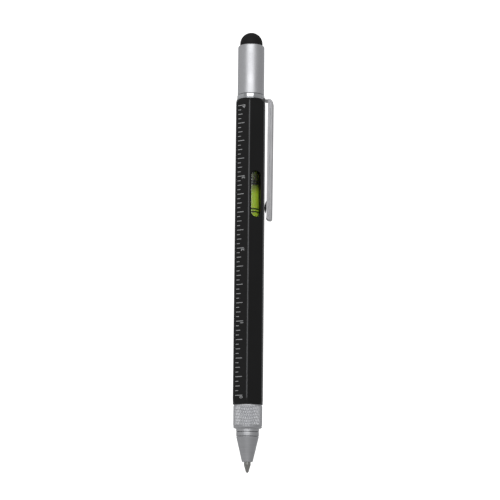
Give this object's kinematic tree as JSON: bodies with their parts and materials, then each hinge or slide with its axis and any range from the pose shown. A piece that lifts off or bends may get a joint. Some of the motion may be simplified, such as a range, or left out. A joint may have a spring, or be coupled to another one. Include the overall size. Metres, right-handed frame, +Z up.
{
  "type": "multi tool pen",
  "caption": "Hexagonal twist-action ballpoint pen with a ruler face, a level vial, a touch stylus cap, a clip and a double-ended screwdriver bit under the cap.",
  "frame": {"origin": "on the flat of the barrel that the pen lies on, straight below its axis and halfway along the pen's overall length", "axes": "+X along the pen towards the writing tip, +Z up and square to the face with the vial's window, +Y towards the side that the clip leans to"},
  "size_m": [0.1552, 0.0137, 0.0108],
  "materials": {
    "black_anodised_aluminium": "black anodised, fine satin",
    "satin_aluminium": "bead blasted, satin clear anodised",
    "chromed_brass": "polished",
    "plated_steel": "nickel plated, bright",
    "tool_steel": "hardened, satin",
    "magnet": "nickel plated",
    "brass": "turned",
    "nickel_silver": "turned, bright",
    "tungsten_carbide": "polished",
    "black_rubber": "matte",
    "black_plastic": "moulded, satin",
    "white_plastic": "moulded, satin",
    "clear_acrylic": "clear, polished",
    "lime_liquid": "clear dyed liquid",
    "black_ink": "paste"
  },
  "bodies": {
    "barrel": {"barrel": "black_anodised_aluminium", "collar_ring": "chromed_brass", "bit_socket": "plated_steel", "bit_magnet": "magnet", "vial_holder": "black_plastic", "vial_tube": "clear_acrylic", "vial_plug": "white_plastic", "vial_liquid": "lime_liquid", "mechanism_bush": "brass", "cam_sleeve": "white_plastic", "friction_ring": "black_rubber", "thrust_washer": "white_plastic"},
    "clip": {"clip": "plated_steel"},
    "cap_seal": {"cap_seal_ring": "black_plastic"},
    "cap": {"stylus_cap": "satin_aluminium", "stylus_insert": "plated_steel", "stylus_tip": "black_rubber", "cap_thread_insert": "brass"},
    "bit": {"screwdriver_bit": "tool_steel"},
    "grip": {"knurled_grip": "satin_aluminium", "grip_insert": "brass", "drive_tube": "brass", "retaining_ring": "plated_steel"},
    "cone_ring": {"cone_ring": "satin_aluminium"},
    "cone": {"nose_cone": "satin_aluminium"},
    "carrier": {"refill_carrier": "white_plastic", "carrier_lug": "plated_steel"},
    "refill": {"refill_tube": "white_plastic", "refill_ink": "black_ink", "refill_point": "nickel_silver"},
    "ball": {"refill_ball": "tungsten_carbide"}
  },
  "joints": [
    {"name": "grip_twist", "type": "hinge", "parent": "barrel", "child": "grip", "pos_m": [0, 0, 0.005], "axis": [1, 0, 0], "range_deg": [0, 180]},
    {"name": "refill_advance", "type": "slide", "parent": "grip", "child": "carrier", "axis": [-1, 0, 0], "range_m": [0, 0.0052]},
    {"name": "clip_flex", "type": "hinge", "parent": "barrel", "child": "clip", "pos_m": [-0.05296, 0.00381, 0.0072], "axis": [0, -0.5, 0.866], "range_deg": [0, 3.5], "stiffness_Nm_per_rad": 0.3},
    {"name": "cap_lift", "type": "slide", "parent": "barrel", "child": "cap_seal", "axis": [-1, 0, 0], "range_m": [0, 0.032]},
    {"name": "cap_turn", "type": "hinge", "parent": "cap_seal", "child": "cap", "pos_m": [-0.0638, 0, 0.005], "axis": [-1, 0, 0], "range_deg": [0, 1080]},
    {"name": "bit_pull", "type": "slide", "parent": "barrel", "child": "bit", "axis": [-1, 0, 0], "range_m": [0, 0.018]},
    {"name": "cone_off", "type": "slide", "parent": "grip", "child": "cone_ring", "axis": [1, 0, 0], "range_m": [0, 0.022]},
    {"name": "cone_turn", "type": "hinge", "parent": "cone_ring", "child": "cone", "pos_m": [0.0693, 0, 0.005], "axis": [1, 0, 0], "range_deg": [0, 1080]},
    {"name": "refill_draw", "type": "slide", "parent": "carrier", "child": "refill", "axis": [1, 0, 0], "range_m": [0, 0.06]},
    {"name": "ball_roll", "type": "hinge", "parent": "refill", "child": "ball", "pos_m": [0.07722, 0, 0.005], "axis": [0, 1, 0], "continuous": true}
  ],
  "couplings": [
    {"joint": "grip_twist", "follows": "refill_advance", "rad_per_m": 604.15},
    {"joint": "bit_pull", "follows": "cap_lift", "ratio": 0.5625}
  ]
}
